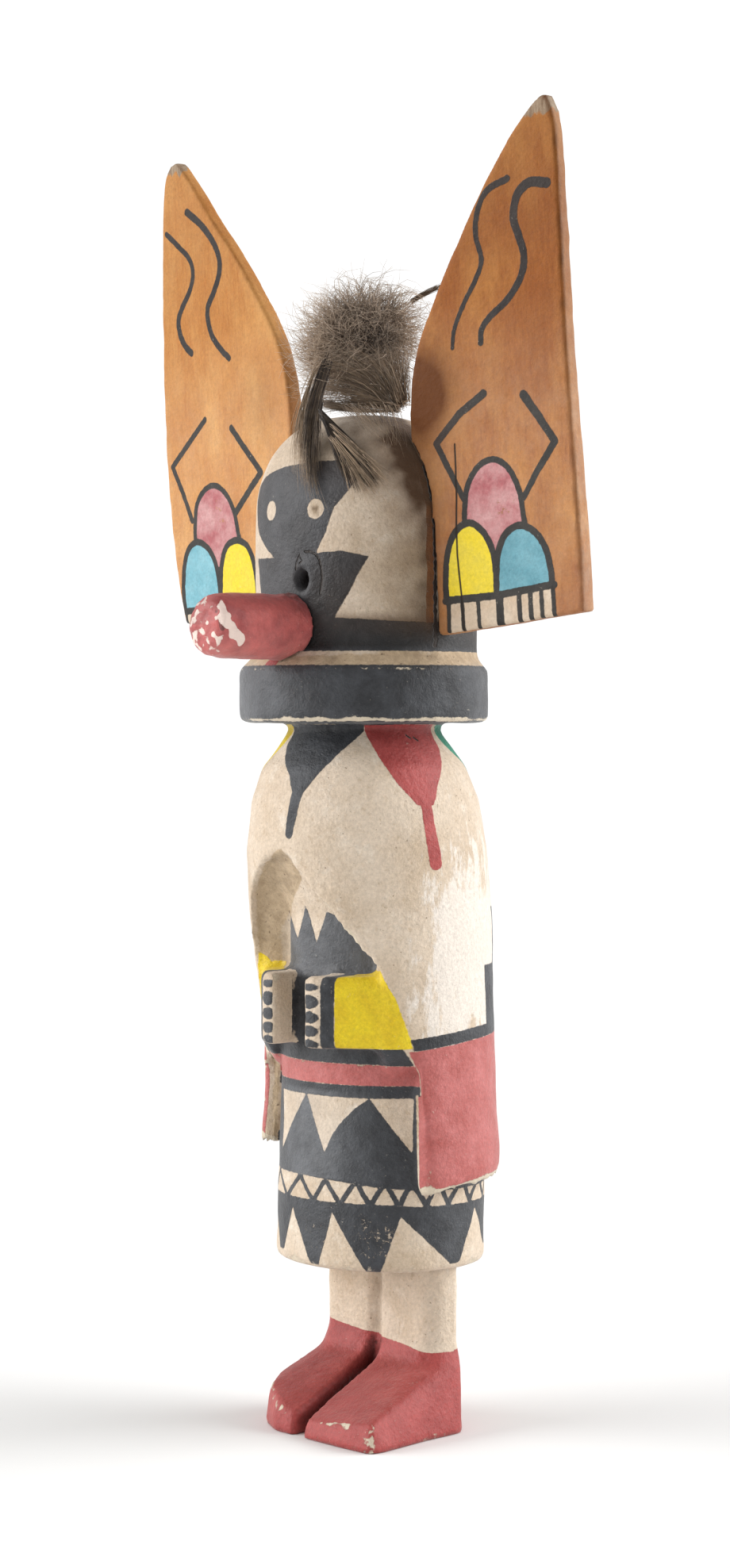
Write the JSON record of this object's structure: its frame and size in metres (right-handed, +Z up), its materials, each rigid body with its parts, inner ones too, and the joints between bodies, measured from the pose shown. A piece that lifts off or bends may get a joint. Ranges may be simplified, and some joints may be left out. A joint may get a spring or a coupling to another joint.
{
  "type": "kachina doll",
  "caption": "Carved and painted standing doll with tall pointed board ears, a tube snout, a round collar, an open robe, a patterned skirt and a feather tuft on the head.",
  "frame": {"origin": "on the ground under the middle of the whole outline", "axes": "+Z up through the ears, the doll faces -Y, its own left side is +X"},
  "size_m": [0.1382, 0.082, 0.3051],
  "materials": {
    "painted_wood": "matte whitewash and mineral paint over carved cottonwood, worn at the edges",
    "stained_wood": "orange-brown stained boards with painted cloud and rain ornament",
    "red_wood": "matte dusty red paint chipped to white at the tip",
    "down": "soft grey-brown down",
    "feather_vane": "dark brown feather vane with a slight sheen"
  },
  "bodies": {
    "root": {"figure": "painted_wood", "left_ear": "stained_wood", "right_ear": "stained_wood", "snout": "red_wood", "down_tuft": "down", "quill_feather": "feather_vane", "hanging_feather": "feather_vane", "wedge_feather": "feather_vane"}
  },
  "joints": []
}
